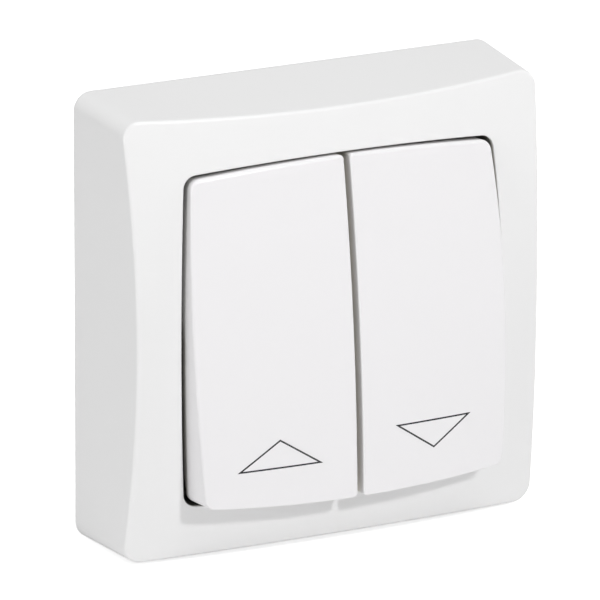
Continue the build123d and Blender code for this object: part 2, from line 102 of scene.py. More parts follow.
def side_and_corner(half_x, half_z, bow, corner):
    """Upper half of the right side, the corner arc after it, and the circle of the top side."""
    right = side_circle(half_x, bow, half_z - bow)
    top = side_circle(half_z, bow, half_x - bow)
    a, b = half_x - corner, half_z - corner
    for _ in range(CORNER_TRIES):
        b = float(on_side(top, half_z, np.float64(a), corner))
        a = float(on_side(right, half_x, np.float64(b), corner))

    def slope(circle, across):
        """Angle by which a side has turned where its corner begins."""
        if circle is None:
            return 0.0
        turn = math.asin(across / (circle[1] - math.copysign(corner, bow)))
        return math.copysign(turn, bow)

    angles = np.linspace(slope(right, b), math.pi / 2 - slope(top, a), CORNER_STEPS + 1)
    arc = np.stack([a + corner * np.cos(angles), b + corner * np.sin(angles)], axis=1)
    up = np.linspace(0, arc[0, 1], SIDE_STEPS, endpoint=False)
    return np.stack([on_side(right, half_x, up), up], axis=1), arc, top


def bowed_outline(half, bow, corner):
    """The whole outline of the square frame or its window, counter-clockwise from the right."""
    side, arc, top = side_and_corner(half, half, bow, corner)
    run = np.linspace(arc[-1, 0], 0, SIDE_STEPS + 1)[1:]
    one = np.concatenate([side, arc, np.stack([run, on_side(top, half, run)], axis=1)])
    two = one[::-1][1:] * [-1, 1]
    three = one[1:] * [-1, -1]
    four = one[::-1][1:-1] * [1, -1]
    return np.concatenate([one, two, three, four])


def unit(vectors):
    """The same directions, each of length one."""
    return vectors / np.linalg.norm(vectors, axis=1, keepdims=True)


def inward(outline):
    """Unit direction into the outline at each of its points."""
    along = np.roll(outline, -1, axis=0) - np.roll(outline, 1, axis=0)
    return unit(np.stack([-along[:, 1], along[:, 0]], axis=1))


print("points round an outline:", len(bowed_outline(half=10.0, bow=0.0, corner=1.0)))

# %% [markdown]
# ## From rings to a mesh
# Cover and keys are tubes of rings: every ring goes once round the outline, and the next one lies a
# little further along the section. This keeps the light's reflections smooth, because the rings
# are laid exactly on the dome, the sides and the edge rounds, which a coarse triangulated solid
# cannot give.

# %% Skin a stack of rings
def link_object(name, data):
    """A new object with the given data, linked to the scene."""
    piece = bpy.data.objects.new(name, data)
    bpy.context.collection.objects.link(piece)
    return piece


def skin(name, rings, close_sections, poles=()):
    """Mesh from rings of equal length. Poles are single points that close the first and last."""
    count = rings.shape[1]
    points = list(rings.reshape(-1, 3))
    faces = []
    last = len(rings) if close_sections else len(rings) - 1
    for k in range(last):
        here, there = k * count, ((k + 1) % len(rings)) * count
        for j in range(count):
            n = (j + 1) % count
            faces.append((here + j, here + n, there + n, there + j))
    for pole, row in zip(poles, (0, len(rings) - 1)):
        points.append(pole)
        for j in range(count):
            pair = (row * count + (j + 1) % count, row * count + j)
            faces.append((len(points) - 1, *(pair if row == 0 else pair[::-1])))
    mesh = bpy.data.meshes.new(name)
    mesh.from_pydata([tuple(p) for p in points], [], faces)
    mesh.validate()
    piece = link_object(name, mesh)
    bpy.context.view_layer.objects.active = piece
    bpy.ops.object.select_all(action="DESELECT")
    piece.select_set(True)
    bpy.ops.object.mode_set(mode="EDIT")
    bpy.ops.mesh.select_all(action="SELECT")
    bpy.ops.mesh.normals_make_consistent(inside=False)
    bpy.ops.object.mode_set(mode="OBJECT")
    mesh.polygons.foreach_set("use_smooth", [True] * len(mesh.polygons))
    print(name, "faces:", len(mesh.polygons))
    return piece


# %% Helpers for rings
def ring(flat, rise):
    """Points of an outline, each lifted to its rise or all to one."""
    return np.column_stack([flat, np.broadcast_to(rise, len(flat))])


def on_form(form, flat, drop=0.0):
    """Points of an outline lifted to a curved face, or to the same face moved inward by drop."""
    return ring(flat, form(flat[:, 0], flat[:, 1], drop))


def round_between(corner_point, back, onward, radius, steps):
    """Rings of an arc of the given radius that eases from one straight into the next."""
    back, onward = unit(back), unit(onward)
    angle = np.arccos(np.clip(np.sum(back * onward, axis=1), -1, 1))[:, None]
    reach = radius / np.tan(angle / 2)
    centre = corner_point + unit(back + onward) * radius / np.sin(angle / 2)
    first = corner_point + back * reach - centre
    final = corner_point + onward * reach - centre
    turn = math.pi - angle
    rings = []
    for t in np.linspace(0, 1, steps + 1):
        weight = np.sin((1 - t) * turn) / np.sin(turn), np.sin(t * turn) / np.sin(turn)
        rings.append(centre + weight[0] * first + weight[1] * final)
    return rings


# %% Remember which walls get painted gap shade and painted warmth
def store_painted_gap_light(piece, shades):
    """Stores two values at each ring point: painted shade by depth in a gap, and painted warmth."""
    values = np.zeros((len(piece.data.vertices), 2), dtype=np.float32)
    flat = shades.reshape(-1, 2)
    values[: len(flat)] = flat
    for column, name in enumerate(("painted_gap_shade", "painted_gap_warmth")):
        layer = piece.data.attributes.new(name, "FLOAT", "POINT")
        layer.data.foreach_set("value", np.ascontiguousarray(values[:, column]))
    print(piece.name, "points deep in a gap:", int((values[:, 0] > 0.5).sum()))


# %% [markdown]
# ## The cover frame
# The real cover is one moulding with walls about two millimetres thick. Its sides lean in a little
# so that it leaves the mould, and each is drawn in at the middle towards the front. The front is a
# shallow dome. Ruled lines from the straight back edge to the waisted front give the sides, and a
# sphere gives the dome. The two meet in a small round that catches the light along the top edge.

# %% The dome, in millimetres
FRAME_HALF = 37.5
FRAME_RISE = 23.4
DOME_RADIUS = 200.0
FRAME_FRONT = 2.2


def dome(x, z, drop=0.0):
    """Rise of the domed front over a point of the wall."""
    radius = DOME_RADIUS - drop
    return FRAME_RISE - DOME_RADIUS + np.sqrt(radius * radius - x * x - z * z)


dome_sag = DOME_RADIUS - math.sqrt(DOME_RADIUS * DOME_RADIUS - FRAME_HALF * FRAME_HALF)
print("the dome falls by", round(dome_sag, 2), "mm to the middle of a side")

# %% The ruled sides
FRAME_WALL = 2.0
FRAME_CORNER = 3.0
WALL_CORNER_LEAST = 0.8
SIDE_DRAFT = math.radians(2.18)
SIDE_WAIST = 0.85
BLANK_RISE = FRAME_RISE + 3.0
DRAFT = BLANK_RISE * math.tan(SIDE_DRAFT)
WAIST = SIDE_WAIST * BLANK_RISE / (FRAME_RISE - dome_sag)
FIRST_GUESS = FRAME_RISE - 4.0
EDGE_TRIES = 30


def side_lines(inset):
    """Back and front ends of the ruled sides, inset from the outside by a wall."""
    corner = max(FRAME_CORNER - inset, WALL_CORNER_LEAST)
    middle = FRAME_HALF - inset - DRAFT - WAIST
    return bowed_outline(FRAME_HALF - inset, 0.0, corner), bowed_outline(middle, -WAIST, corner)


def up_the_side(back, front, rise):
    """Point of each ruled line at the given rise, which may differ from line to line."""
    share = (np.asarray(rise) / BLANK_RISE).reshape(-1, 1)
    return ring(back + (front - back) * share, rise)


def meet_dome(back, front, drop):
    """Rise at which each ruled line reaches the dome."""
    rise = np.full(len(back), FIRST_GUESS)
    for _ in range(EDGE_TRIES):
        point = up_the_side(back, front, rise)
        rise = dome(point[:, 0], point[:, 1], drop)
    return rise


back_outer, front_outer = side_lines(0.0)
edge_rise = meet_dome(back_outer, front_outer, 0.0)
print("front edge", edge_rise.min().round(2), "to", edge_rise.max().round(2), "mm above the wall")

# %% [markdown]
# The section of the cover goes round in one loop: up the outside, over the edge round, across the
# dome to the window, down the walls of the window, and back along the inside. The walls end in a
# narrow lip along the middle of each side. Without it, light from the openings in the back would
# shine through the gap round the keys.

# %% The round between side and dome
EDGE_ROUND = 0.6
EDGE_STEPS = 8
PROBE = 0.5

corner_point = up_the_side(back_outer, front_outer, edge_rise)
lean = corner_point - up_the_side(back_outer, front_outer, edge_rise - 1.0)
into = inward(corner_point[:, :2])
ahead = corner_point[:, :2] + PROBE * into
climb = (dome(ahead[:, 0], ahead[:, 1]) - edge_rise)[:, None] / PROBE
edge_arc = round_between(
    corner_point, -lean, np.concatenate([into, climb], axis=1), EDGE_ROUND, EDGE_STEPS)
print("the round leaves the side at", edge_arc[0][:, 2].min().round(2), "mm or more")

# %% Rings of the cover's outside
BACK_BREAK = 0.25
SIDE_SHARES = np.concatenate([[0.012], np.linspace(0.03, 1, 14)[:-1]])
FRONT_SHARES = np.linspace(0, 1, 20)[1:]
WINDOW_HALF = 28.65
WINDOW_BOW = 1.25
WINDOW_CORNER = 2.3
WINDOW_ROUND = 0.15
WINDOW_TURNS = np.linspace(0, math.pi / 2, 6)[1:]

window = bowed_outline(WINDOW_HALF, WINDOW_BOW, WINDOW_CORNER)
window_edge = window - inward(window) * WINDOW_ROUND

rings = [up_the_side(back_outer, front_outer, np.zeros(len(back_outer)))]
rings[0][:, :2] += inward(back_outer) * BACK_BREAK
for share in SIDE_SHARES:
    rings.append(up_the_side(back_outer, front_outer, share * edge_arc[0][:, 2]))
rings += edge_arc
across_start = edge_arc[-1][:, :2]
for share in FRONT_SHARES:
    rings.append(on_form(dome, across_start + (window_edge - across_start) * share))
window_rise = dome(window_edge[:, 0], window_edge[:, 1])
for turn in WINDOW_TURNS:
    flat = window_edge + inward(window) * WINDOW_ROUND * math.sin(turn)
    rings.append(ring(flat, window_rise - WINDOW_ROUND * (1 - math.cos(turn))))
print("window", 2 * WINDOW_HALF, "mm, rings outside:", len(rings))

# %% Rings of the window's walls, the lip and the inside
WALL_SHARES = (0.02, 0.05, 0.1, 0.4, 0.7, 1.0)
LIGHT_LIP_RISE = 12.8
LIGHT_LIP_HALF = 27.45
LIGHT_LIP_THICK = 0.8
COLLAR_WALL = 1.3
INSIDE_SHARES = (0.33, 0.66, 1.0)
DOWN_SHARES = (0.66, 0.33, 0.0)

wall_start = len(rings)
wall_top = window_rise - WINDOW_ROUND
for share in WALL_SHARES:
    rings.append(ring(window, wall_top + (LIGHT_LIP_RISE - wall_top) * share))
lip = np.clip(window, -LIGHT_LIP_HALF, LIGHT_LIP_HALF)
lip_under = LIGHT_LIP_RISE - LIGHT_LIP_THICK
rings += [ring(lip, LIGHT_LIP_RISE), ring(lip, lip_under)]
wall_end = len(rings)

collar = bowed_outline(WINDOW_HALF + COLLAR_WALL, WINDOW_BOW, WINDOW_CORNER + COLLAR_WALL)
rings += [ring(collar, lip_under), on_form(dome, collar, FRAME_FRONT)]
back_inner, front_inner = side_lines(FRAME_WALL)
inner_rise = meet_dome(back_inner, front_inner, FRAME_FRONT)
inner_top = up_the_side(back_inner, front_inner, inner_rise)[:, :2]
for share in INSIDE_SHARES:
    rings.append(on_form(dome, collar + (inner_top - collar) * share, FRAME_FRONT))
for share in DOWN_SHARES:
    rings.append(up_the_side(back_inner, front_inner, share * inner_rise))
print("rings in all:", len(rings))

# %% Skin the cover
PAINTED_SHADE_FADE_IN = [[0.0], [0.4]]

rings = np.stack(rings)
cover_rings = to_metres(rings[..., 0], rings[..., 2], rings[..., 1])
cover = skin("cover_shell", cover_rings, close_sections=True)
# The window's walls get painted shade and a painted warm tint; the shade fades in over the first
# two rings
shades = np.zeros(rings.shape[:2] + (2,))
shades[wall_start:wall_end] = 1.0
shades[wall_start : wall_start + len(PAINTED_SHADE_FADE_IN), :, 0] = PAINTED_SHADE_FADE_IN
store_painted_gap_light(cover, shades)
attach(cover, "base")
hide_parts("cover_frame")

# %% [markdown]
# ## The keys
# Each key is a cap: a crowned face, side walls that reach down behind the window, and a hollow
# inside. Its outline is half of a bowed square, with generous outer corners and tighter ones at the
# gap in the middle. The face is part of a ring that is curved across by one radius and along by a
# larger one. The key is laid out upright and then tipped about its pivot, which leaves the lower
# end proud of the frame, as it is at rest.

# %% One key's outline, in millimetres
KEY_GAP = 0.8
KEY_END_GAP = 0.7
CENTRE_GAP = 1.1
KEY_CORNER = 1.9
KEY_INNER_CORNER = 0.7
OUTER_LEAST = 0.4
INNER_LEAST = 0.2


def key_outline(inset):
    """Outline of the right-hand key, counter-clockwise from the middle of its outer side."""
    half_x, half_z = WINDOW_HALF - KEY_GAP - inset, WINDOW_HALF - KEY_END_GAP - inset
    inner_x = CENTRE_GAP / 2 + inset
    inner_corner = max(KEY_INNER_CORNER - inset, INNER_LEAST)
    outer_corner = max(KEY_CORNER - inset, OUTER_LEAST)
    outer_side, outer_arc, top = side_and_corner(half_x, half_z, WINDOW_BOW, outer_corner)
    centre_x = inner_x + inner_corner
    centre_z = float(on_side(top, half_z, np.float64(centre_x), inner_corner))
    lean_angle = math.pi / 2 - math.asin(centre_x / (top[1] - inner_corner))
    turns = np.linspace(lean_angle, math.pi, CORNER_STEPS)
    inner_arc = np.stack(
        [centre_x + inner_corner * np.cos(turns), centre_z + inner_corner * np.sin(turns)], axis=1)
    run = np.linspace(outer_arc[-1, 0], inner_arc[0, 0], SIDE_STEPS + 1)[1:-1]
    end = np.stack([run, on_side(top, half_z, run)], axis=1)
    drop = np.linspace(inner_arc[-1, 1], 0, SIDE_STEPS + 1)[1:]
    inner_side = np.stack([np.full(SIDE_STEPS, inner_x), drop], axis=1)
    upper = np.concatenate([outer_side, outer_arc, end, inner_arc, inner_side])
    return np.concatenate([upper, upper[::-1][1:-1] * [1, -1]])


print("key", round(2 * (WINDOW_HALF - KEY_END_GAP), 2), "mm tall")
print("points round a key:", len(key_outline(0.0)))

# %% The key's crown and its tilt at rest
KEY_RISE = 26.3
KEY_CROSS = 192.0
KEY_LONG = 333.0
PIVOT_RISE = 19.3
KEY_TILT = math.radians(-5.94)


def crown(x, z, drop=0.0):
    """Rise of the keys' crowned face, before it is tipped."""
    along = KEY_LONG - drop - np.sqrt((KEY_LONG - drop) ** 2 - z * z)
    across = KEY_CROSS - drop - along
    return KEY_RISE - KEY_CROSS + np.sqrt(across**2 - x * x)


def tip_key(points):
    """Turns points (x, z, rise) about the pivot to the rest position and gives metres."""
    x, rise, z = points[..., 0], points[..., 2] - PIVOT_RISE, points[..., 1]
    turned_rise = rise * math.cos(KEY_TILT) + z * math.sin(KEY_TILT)
    turned_z = z * math.cos(KEY_TILT) - rise * math.sin(KEY_TILT)
    return to_metres(x, turned_rise + PIVOT_RISE, turned_z)


print("crown", KEY_RISE, "mm, tipped by", round(math.degrees(KEY_TILT), 2), "degrees")

# %% [markdown]
# The face meets the side walls in a round that is not the same everywhere: it is crisper at the
# lower end and along the middle gap, and softer at the upper end. So its radius is worked out for
# every point of the outline. The walls below it also learn how deep in the gap they lie, and which
# of them belong to the middle gap, for the painted shade and the painted warm bounce light there.

# %% The edge of the face
KEY_ROUND = 0.45
UPPER_ROUND = 0.70
LOWER_ROUND = 0.22
INNER_ROUND = 0.28
ROUND_EASE = 2.0
END_BAND = 3.0


def edge_rounds(outline):
    """Radius of the face's edge at each point, and how far each point is from the middle gap."""
    off_gap = np.clip((outline[:, :1] - CENTRE_GAP / 2) / ROUND_EASE, 0, 1)
    height = outline[:, 1:]
    near_end = np.clip((np.abs(height) - height.max() + END_BAND) / ROUND_EASE, 0, 1)
    end_round = np.where(height < 0, LOWER_ROUND, UPPER_ROUND)
    edge_round = KEY_ROUND + (end_round - KEY_ROUND) * near_end
    return INNER_ROUND + (edge_round - INNER_ROUND) * off_gap, off_gap[:, 0]


edge_round = edge_rounds(key_outline(0.0))[0]
print("edge round from", edge_round.min(), "to", edge_round.max(), "mm")

# %% Rings of a key
KEY_WALL = 1.6
SKIRT_RISE = 16.3
PAINTED_SHADE_FADE = 1.6
PAINTED_WARMTH_RAMP = 0.25
FACE_SHARES = np.concatenate([np.linspace(0.06, 0.9, 15), [0.95, 0.98, 1.0]])
ROUND_TURNS = np.linspace(0, math.pi / 2, 8)[1:]
SKIRT_SHARES = np.linspace(0, 1, 22)[1:]
HOLLOW_SHARES = (0.75, 0.5, 0.25)


def key_rings():
    """Rings of the right-hand key from face to hollow, its two poles, and their painted gap shade.
    """
    outline = key_outline(0.0)
    middle = np.array([(outline[:, 0].max() + outline[:, 0].min()) / 2, 0.0])
    edge_round, off_gap = edge_rounds(outline)
    face_edge = outline + inward(outline) * edge_round
    rings = [on_form(crown, middle + (face_edge - middle) * share) for share in FACE_SHARES]
    face_rise = rings[-1][:, 2]
    for turn in ROUND_TURNS:
        flat = face_edge - inward(outline) * edge_round * math.sin(turn)
        rings.append(ring(flat, face_rise - edge_round[:, 0] * (1 - math.cos(turn))))
    shades = [np.zeros((len(outline), 2))] * len(rings)

    # What the swinging key never brings out of the window counts as deep and gets painted shade
    wall_top = face_rise - edge_round[:, 0]
    level = dome(outline[:, 0], outline[:, 1]) - np.abs(outline[:, 1]) * math.sin(-KEY_TILT)
    for share in SKIRT_SHARES:
        rise = wall_top + (SKIRT_RISE - wall_top) * share
        rings.append(ring(outline, rise))
        painted_shade = np.clip((level - rise) / PAINTED_SHADE_FADE, 0, 1) * off_gap
        # The deep walls and the walls of the middle gap get a painted warm tint for bounced light
        painted_warmth = np.maximum(painted_shade, (1 - off_gap) * min(1, share / PAINTED_WARMTH_RAMP))
        shades.append(np.stack([painted_shade, painted_warmth], axis=1))

    inner = key_outline(KEY_WALL)
    rings += [ring(inner, SKIRT_RISE), on_form(crown, inner, KEY_WALL)]
    for share in HOLLOW_SHARES:
        rings.append(on_form(crown, middle + (inner - middle) * share, KEY_WALL))
    shades += [np.zeros((len(outline), 2))] * (len(rings) - len(shades))
    poles = [[middle[0], 0.0, crown(middle[0], 0.0, drop)] for drop in (0.0, KEY_WALL)]
    return np.stack(rings), np.array(poles), np.stack(shades)


print("rings of a key:", len(key_rings()[0]))

# %% Make both keys
def make_key(name, side, body, node):
    """One key cap on its rocker: side is 1 for the right-hand key and -1 for its mirror image."""
    rings, poles, shades = key_rings()
    mirror = np.array([side, 1.0, 1.0])
    key = skin(name, tip_key(rings * mirror), close_sections=False, poles=tip_key(poles * mirror))
    store_painted_gap_light(key, shades)
    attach(key, body)
    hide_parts(node)
    return key


up_key = make_key("up_key_cap", -1, "up_rocker", "up_key")
down_key = make_key("down_key_cap", 1, "down_rocker", "down_key")

# %% [markdown]
# ## Helpers for node trees
# Marks and materials are made by nodes. Building a tree by hand is mostly the same two steps,
# adding a node and filling its inputs, so a few short helpers do that everywhere.

# %% Nodes, sockets and sums
def fill(tree, place, value):
    """Sets an input to a plain value, or links it to another node's output."""
    if isinstance(value, bpy.types.NodeSocket):
        tree.links.new(value, place)
    else:
        place.default_value = value


def add_node(tree, kind, inputs=None, **settings):
    """Adds a node, sets its properties and then fills its inputs."""
    node = tree.nodes.new(kind)
    for name, value in settings.items():
        setattr(node, name, value)
    for place, value in (inputs or {}).items():
        fill(tree, node.inputs[place], value)
    return node


def socket(tree, name, kind, value=None):
    """A named input of a group, with its default value. Gives the input's identifier."""
    item = tree.interface.new_socket(name, in_out="INPUT", socket_type="NodeSocket" + kind)
    if value is not None:
        item.default_value = value
    return item.identifier


def maths(tree, operation, *values):
    """One sum on numbers or other nodes' outputs."""
    return add_node(tree, "ShaderNodeMath", dict(enumerate(values)), operation=operation).outputs[0]


def combine(tree, *values):
    """A vector from three numbers or outputs."""
    return add_node(tree, "ShaderNodeCombineXYZ", dict(enumerate(values))).outputs[0]


def scale_vector(tree, vector, scale):
    """A vector or colour times a number."""
    inputs = {0: vector, "Scale": scale}
    return add_node(tree, "ShaderNodeVectorMath", inputs, operation="SCALE").outputs[0]


# %% [markdown]
# ## The two marks
# A thin line drawn as a triangle tells the user which key lifts the shutter and which lowers it.
# On the real keys it is printed, so it has no depth to speak of, yet it follows the crowned face.
# A node tree suits it: two triangle curves, one inside the other, are filled to a band of constant
# width, and every point of the band is then dropped straight onto the key by a ray. The inner
# triangle is the outer one shrunk about its incentre, which keeps the three lines equally wide.

# %% Sizes of the marks
UP_MARK_X = -14.03
UP_BASE_Z = -21.3
UP_MARK_WIDTH = 14.7
DOWN_MARK_X = 13.4
DOWN_BASE_Z = -17.0
DOWN_MARK_WIDTH = 14.1
MARK_HEIGHT = 4.8
MARK_LINE = 0.27
PRINT_DEPTH = 0.02
MARK_AHEAD = 4.0
RAY_LENGTH = 50.0
WELD = 0.0001

# How often each side is divided, so that it can follow the curved face
SIDE_CUTS = 47
print("marks", UP_MARK_WIDTH, "and", DOWN_MARK_WIDTH, "mm wide, line", MARK_LINE, "mm")

# %% A band between two triangles
def triangle_band(tree, width, height, line):
    """A flat triangle line, apex along +Y, with the middle of its base at the origin."""
    half_base = maths(tree, "MULTIPLY", width, 0.5)
    slant = maths(tree, "SQRT", maths(
        tree, "ADD", maths(tree, "POWER", half_base, 2.0), maths(tree, "POWER", height, 2.0)))
    inradius = maths(tree, "DIVIDE", maths(tree, "MULTIPLY", width, height),
                     maths(tree, "ADD", width, maths(tree, "MULTIPLY", slant, 2.0)))
    shrink = maths(tree, "SUBTRACT", 1.0, maths(tree, "DIVIDE", line, inradius))

    # A circle of three points is an equilateral triangle of radius 1, apex along +X
    circle = add_node(tree, "GeometryNodeCurvePrimitiveCircle", {"Resolution": 3, "Radius": 1.0})
    upright = add_node(tree, "GeometryNodeTransform", {
        "Geometry": circle.outputs["Curve"],
        "Rotation": (0, 0, math.pi / 2),
        "Translation": (0, 0.5, 0),
    })
    across = maths(tree, "DIVIDE", width, math.sqrt(3))
    outer = add_node(tree, "GeometryNodeTransform", {
        "Geometry": upright.outputs[0],
        "Scale": combine(tree, across, maths(tree, "DIVIDE", height, 1.5), 1.0),
    })
    lift = maths(tree, "MULTIPLY", inradius, maths(tree, "SUBTRACT", 1.0, shrink))
    inner = add_node(tree, "GeometryNodeTransform", {
        "Geometry": outer.outputs[0],
        "Scale": combine(tree, shrink, shrink, 1.0),
        "Translation": combine(tree, 0.0, lift, 0.0),
    })

    both = add_node(tree, "GeometryNodeJoinGeometry")
    for curve in (outer, inner):
        divided = add_node(
            tree, "GeometryNodeSubdivideCurve", {"Curve": curve.outputs[0], "Cuts": SIDE_CUTS})
        tree.links.new(divided.outputs[0], both.inputs[0])
    return add_node(tree, "GeometryNodeFillCurve", {"Curve": both.outputs[0]}).outputs[0]


# %% Drop the band onto a key and thicken it
def dropped(tree, band, place, turn, key):
    """The band turned parallel to the key's face and dropped on it, and the way it fell."""
    ahead = add_node(tree, "GeometryNodeTransform", {
        "Geometry": band, "Translation": place, "Rotation": turn})
    target = add_node(tree, "GeometryNodeObjectInfo", {"Object": key})
    straight_in = add_node(tree, "ShaderNodeVectorRotate", {
        "Vector": (0, 0, -1), "Rotation": turn}, rotation_type="EULER_XYZ").outputs[0]
    ray = add_node(tree, "GeometryNodeRaycast", {
        "Target Geometry": target.outputs["Geometry"],
        "Ray Direction": straight_in,
        "Ray Length": RAY_LENGTH / MM_PER_METRE,
    })
    landed = add_node(tree, "GeometryNodeSetPosition", {
        "Geometry": ahead.outputs[0], "Position": ray.outputs["Hit Position"]})
    return landed.outputs[0], straight_in


def thickened(tree, sheet, straight_in, depth):
    """A closed skin of the given depth round the sheet, half sunk into the face."""
    half_depth = maths(tree, "MULTIPLY", depth, 0.5)
    sunk = add_node(tree, "GeometryNodeSetPosition", {
        "Geometry": sheet, "Offset": scale_vector(tree, straight_in, half_depth)})
    raised = add_node(tree, "GeometryNodeExtrudeMesh", {
        "Mesh": sunk.outputs[0],
        "Individual": False,
        "Offset": scale_vector(tree, straight_in, -1.0),
        "Offset Scale": depth,
    })
    under = add_node(tree, "GeometryNodeFlipFaces", {"Mesh": sunk.outputs[0]})
    closed = add_node(tree, "GeometryNodeJoinGeometry")
    tree.links.new(raised.outputs["Mesh"], closed.inputs[0])
    tree.links.new(under.outputs[0], closed.inputs[0])
    return add_node(tree, "GeometryNodeMergeByDistance", {
        "Geometry": closed.outputs[0], "Distance": WELD / MM_PER_METRE}).outputs[0]


# %% The whole tree of a mark
def triangle_tree():
    """The tree of a mark and the identifiers of its inputs."""
    tree = bpy.data.node_groups.new("triangle_mark", "GeometryNodeTree")
    ids = {
        "width": socket(tree, "Width", "Float", UP_MARK_WIDTH / MM_PER_METRE),
        "height": socket(tree, "Height", "Float", MARK_HEIGHT / MM_PER_METRE),
        "line": socket(tree, "Line Width", "Float", MARK_LINE / MM_PER_METRE),
        "depth": socket(tree, "Print Depth", "Float", PRINT_DEPTH / MM_PER_METRE),
        "place": socket(tree, "Place", "Vector"),
        "turn": socket(tree, "Turn", "Vector"),
        "key": socket(tree, "Key", "Object"),
        "ink": socket(tree, "Ink", "Material"),
    }
    tree.interface.new_socket("Geometry", in_out="OUTPUT", socket_type="NodeSocketGeometry")
    given = add_node(tree, "NodeGroupInput").outputs
    band = triangle_band(tree, given["Width"], given["Height"], given["Line Width"])
    sheet, straight_in = dropped(tree, band, given["Place"], given["Turn"], given["Key"])
    print_skin = thickened(tree, sheet, straight_in, given["Print Depth"])
    real = add_node(tree, "GeometryNodeRealizeInstances", {"Geometry": print_skin})
    inked = add_node(tree, "GeometryNodeSetMaterial", {
        "Geometry": real.outputs[0], "Material": given["Ink"]})
    add_node(tree, "NodeGroupOutput", {0: inked.outputs[0]})
    return tree, ids


mark_tree, mark_sockets = triangle_tree()
print("mark tree nodes:", len(mark_tree.nodes))

# %% [markdown]
# The result of the tree is turned into a plain mesh, so that the export and the joints see an
# ordinary piece. The mark that points down is the same triangle turned over.

# %% Grow a piece from a tree and print a mark
def grow(name, tree, values):
    """Runs a node tree on an empty mesh and keeps its result as a plain mesh."""
    seed = link_object(name + "_seed", bpy.data.meshes.new(name + "_seed"))
    modifier = seed.modifiers.new("tree", "NODES")
    modifier.node_group = tree
    for identifier, value in values.items():
        modifier[identifier] = value
    bpy.context.view_layer.update()
    depsgraph = bpy.context.evaluated_depsgraph_get()
    mesh = bpy.data.meshes.new_from_object(seed.evaluated_get(depsgraph), depsgraph=depsgraph)
    mesh.name = name
    seed.modifiers.remove(modifier)
    bpy.data.objects.remove(seed)
    print(name, "faces:", len(mesh.polygons))
    return link_object(name, mesh)


def print_mark(name, x, base_z, width, points_up, key, body, ink):
    """A triangle in front of a key, printed on the key's face."""
    ahead = tip_key(np.array([x, base_z, KEY_RISE + MARK_AHEAD]))
    turn = (math.pi / 2 + KEY_TILT, 0.0, 0.0)
    if not points_up:
        turn = (math.pi / 2 - KEY_TILT, math.pi, 0.0)
    mark = grow(name, mark_tree, {
        mark_sockets["width"]: width / MM_PER_METRE,
        mark_sockets["height"]: MARK_HEIGHT / MM_PER_METRE,
        mark_sockets["line"]: MARK_LINE / MM_PER_METRE,
        mark_sockets["depth"]: PRINT_DEPTH / MM_PER_METRE,
        mark_sockets["place"]: tuple(ahead),
        mark_sockets["turn"]: turn,
        mark_sockets["key"]: key,
        mark_sockets["ink"]: ink,
    })
    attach(mark, body)


# %% [markdown]
# ## Moulded plastic
# Polished moulded plastic is never perfectly even. Close up it has a fine grain left by the mould,
# further out its surface waves by a few thousandths of a millimetre, and its gloss changes slowly
# from place to place. One shader node group gives all three to every moulded piece, and each
# material sets how strong they are. The waves are what makes a highlight on plastic look soft.

# %% What every surface group puts out
def new_surface_group(name, inputs):
    """A shader group with the given inputs, and outputs for colour, roughness and height."""
    tree = bpy.data.node_groups.new(name, "ShaderNodeTree")
    for title, value in inputs.items():
        socket(tree, title, "Float" if isinstance(value, float) else "Color", value)
    for title, kind in (("Colour", "Color"), ("Roughness", "Float"), ("Height", "Float")):
        tree.interface.new_socket(title, in_out="OUTPUT", socket_type="NodeSocket" + kind)
    given = add_node(tree, "NodeGroupInput").outputs
    place = add_node(tree, "ShaderNodeTexCoord").outputs["Object"]
    return tree, given, place


def noise(tree, vector, scale, detail, roughness=0.5):
    """A noise with the given number of waves to a metre."""
    inputs = {"Vector": vector, "Scale": scale, "Detail": detail, "Roughness": roughness}
    return add_node(tree, "ShaderNodeTexNoise", inputs).outputs["Fac"]


# %% A shader group for moulded plastic
DRIFT_SCALE = 45.0
WAVE_SCALE = 160.0
GRAIN_SCALE = 5200.0
GRAIN_ROUGHNESS = 0.6
GRAIN_IN_GLOSS = 0.5


def moulded_group():
    """Slow drift of colour and gloss, and a height of waves and grain."""
    tree, given, place = new_surface_group("moulded_surface", {
        "Colour": (0.8, 0.8, 0.8, 1.0), "Colour Drift": 0.01, "Gloss": 0.35, "Gloss Drift": 0.04,
        "Grain": 0.3, "Wave": 0.3})
    slow = noise(tree, place, DRIFT_SCALE, 2.0)
    wave = noise(tree, place, WAVE_SCALE, 1.0)
    grain = noise(tree, place, GRAIN_SCALE, 2.0, GRAIN_ROUGHNESS)

    centred = maths(tree, "SUBTRACT", slow, 0.5)
    tint = maths(tree, "ADD", 1.0, maths(tree, "MULTIPLY", centred, given["Colour Drift"]))
    speckle = maths(tree, "MULTIPLY", maths(tree, "SUBTRACT", grain, 0.5), GRAIN_IN_GLOSS)
    uneven = maths(tree, "ADD", centred, speckle)
    drift = maths(tree, "MULTIPLY", uneven, given["Gloss Drift"])
    add_node(tree, "NodeGroupOutput", {
        "Colour": scale_vector(tree, given["Colour"], tint),
        "Roughness": maths(tree, "ADD", given["Gloss"], drift),
        "Height": maths(tree, "ADD", maths(tree, "MULTIPLY", wave, given["Wave"]),
                        maths(tree, "MULTIPLY", grain, given["Grain"])),
    })
    return tree


moulded = moulded_group()
print("moulded surface nodes:", len(moulded.nodes))

# %% Materials from a group
PLASTIC_IOR = 1.5
PLASTIC_RELIEF = 0.000004
GLOSS_DRIFT = 0.05


